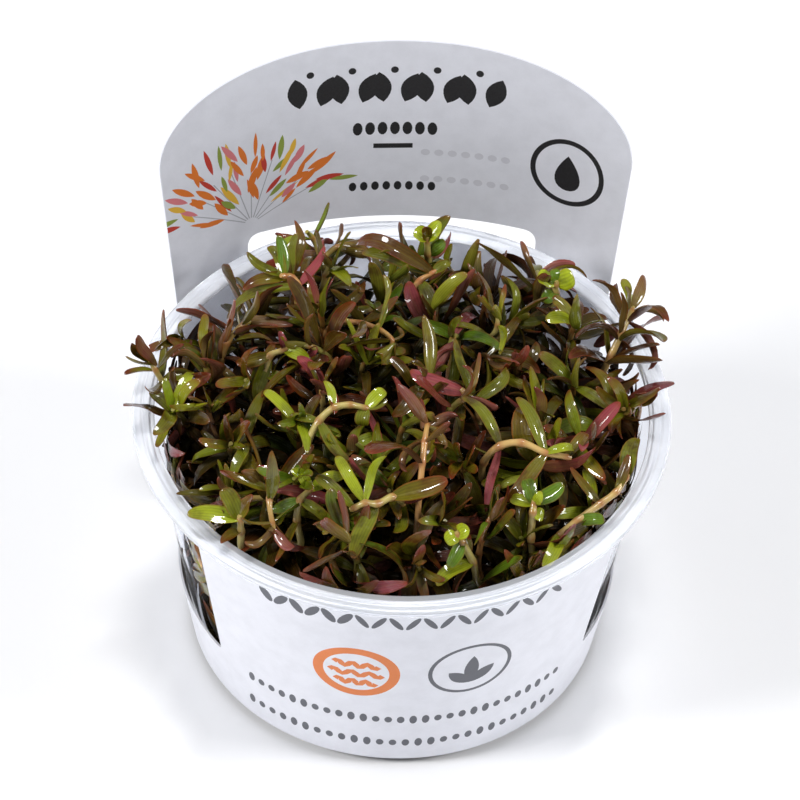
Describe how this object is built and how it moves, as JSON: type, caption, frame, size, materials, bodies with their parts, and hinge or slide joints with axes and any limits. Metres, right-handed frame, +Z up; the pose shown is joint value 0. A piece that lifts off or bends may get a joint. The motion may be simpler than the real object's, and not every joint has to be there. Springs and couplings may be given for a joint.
{
  "type": "aquarium stem plants in a culture cup",
  "caption": "Dense rotala stem plants growing in a clear round plastic culture cup with a flat flange and a white card sleeve whose back rises as a bowed header.",
  "frame": {"origin": "centre of the cup's flat base, on the surface that it stands on", "axes": "+Z up along the cup's axis, +Y towards the tall header of the sleeve, +X to the right seen from the front"},
  "size_m": [0.1026, 0.1035, 0.1015],
  "materials": {
    "clear_plastic": "clear, slightly milky moulded plastic",
    "card": null,
    "gel": "wet translucent nutrient gel",
    "foliage": "wet leaves from olive and bright green to red-brown and pink, on pale stems"
  },
  "bodies": {
    "root": {"cup": "clear_plastic", "label_sleeve": "card", "nutrient_gel": "gel", "shoot_01": "foliage", "shoot_02": "foliage", "shoot_03": "foliage", "shoot_04": "foliage", "shoot_05": "foliage", "shoot_06": "foliage", "shoot_07": "foliage", "shoot_08": "foliage", "shoot_09": "foliage", "shoot_10": "foliage", "shoot_11": "foliage", "shoot_12": "foliage", "shoot_13": "foliage", "shoot_14": "foliage", "shoot_15": "foliage", "shoot_16": "foliage", "shoot_17": "foliage", "shoot_18": "foliage", "shoot_19": "foliage", "shoot_20": "foliage", "shoot_21": "foliage", "shoot_22": "foliage", "shoot_23": "foliage", "shoot_24": "foliage", "shoot_25": "foliage", "shoot_26": "foliage", "shoot_27": "foliage", "shoot_28": "foliage", "shoot_29": "foliage", "shoot_30": "foliage", "shoot_31": "foliage", "shoot_32": "foliage", "shoot_33": "foliage", "shoot_34": "foliage", "shoot_35": "foliage", "shoot_36": "foliage", "shoot_37": "foliage", "shoot_38": "foliage", "shoot_39": "foliage", "shoot_40": "foliage", "shoot_41": "foliage", "shoot_42": "foliage", "shoot_43": "foliage", "shoot_44": "foliage"}
  },
  "joints": []
}
